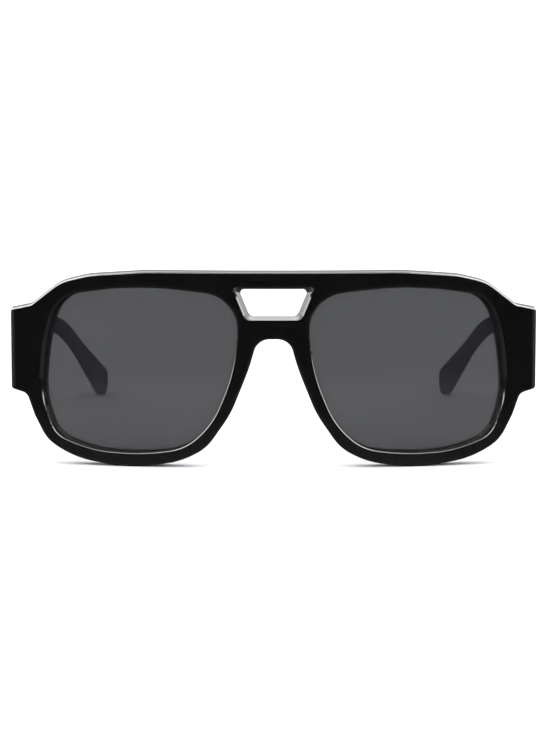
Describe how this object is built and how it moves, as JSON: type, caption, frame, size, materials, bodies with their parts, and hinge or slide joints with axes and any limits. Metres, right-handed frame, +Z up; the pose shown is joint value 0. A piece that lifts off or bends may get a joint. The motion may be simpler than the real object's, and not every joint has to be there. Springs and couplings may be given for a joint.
{
  "type": "sunglasses",
  "caption": "Sunglasses with a flat brow bar, double bridge with a trapezoid window, large tinted lenses and temples that fold on barrel hinges.",
  "frame": {"origin": "bottom centre of the open sunglasses, on the surface that the lens rims and temple tips rest on", "axes": "+X to the side at the picture's right, +Y from the front towards the temple tips, +Z up"},
  "size_m": [0.1474, 0.1498, 0.0548],
  "materials": {
    "acetate": "polished opaque black acetate",
    "tinted_lens": "even dark grey tint, smooth on both faces",
    "hinge_metal": "plain nickel silver, satin",
    "screw_metal": "bright steel, turned",
    "core_wire": "drawn wire, hidden in the temple"
  },
  "bodies": {
    "front": {"frame_front": "acetate", "lens_right": "tinted_lens", "nose_pad_right": "acetate", "front_hinge_right": "hinge_metal", "hinge_screw_right": "screw_metal", "lens_left": "tinted_lens", "nose_pad_left": "acetate", "front_hinge_left": "hinge_metal", "hinge_screw_left": "screw_metal"},
    "temple_right": {"temple_right": "acetate", "temple_core_right": "core_wire", "temple_hinge_right": "hinge_metal"},
    "temple_left": {"temple_left": "acetate", "temple_core_left": "core_wire", "temple_hinge_left": "hinge_metal"}
  },
  "joints": [
    {"name": "temple_right_fold", "type": "hinge", "parent": "front", "child": "temple_right", "pos_m": [0.06651, -0.05782, 0.03201], "axis": [0, 0, 1], "range_deg": [0, 80]},
    {"name": "temple_left_fold", "type": "hinge", "parent": "front", "child": "temple_left", "pos_m": [-0.06651, -0.05782, 0.03201], "axis": [0, 0, -1], "range_deg": [0, 86]}
  ]
}
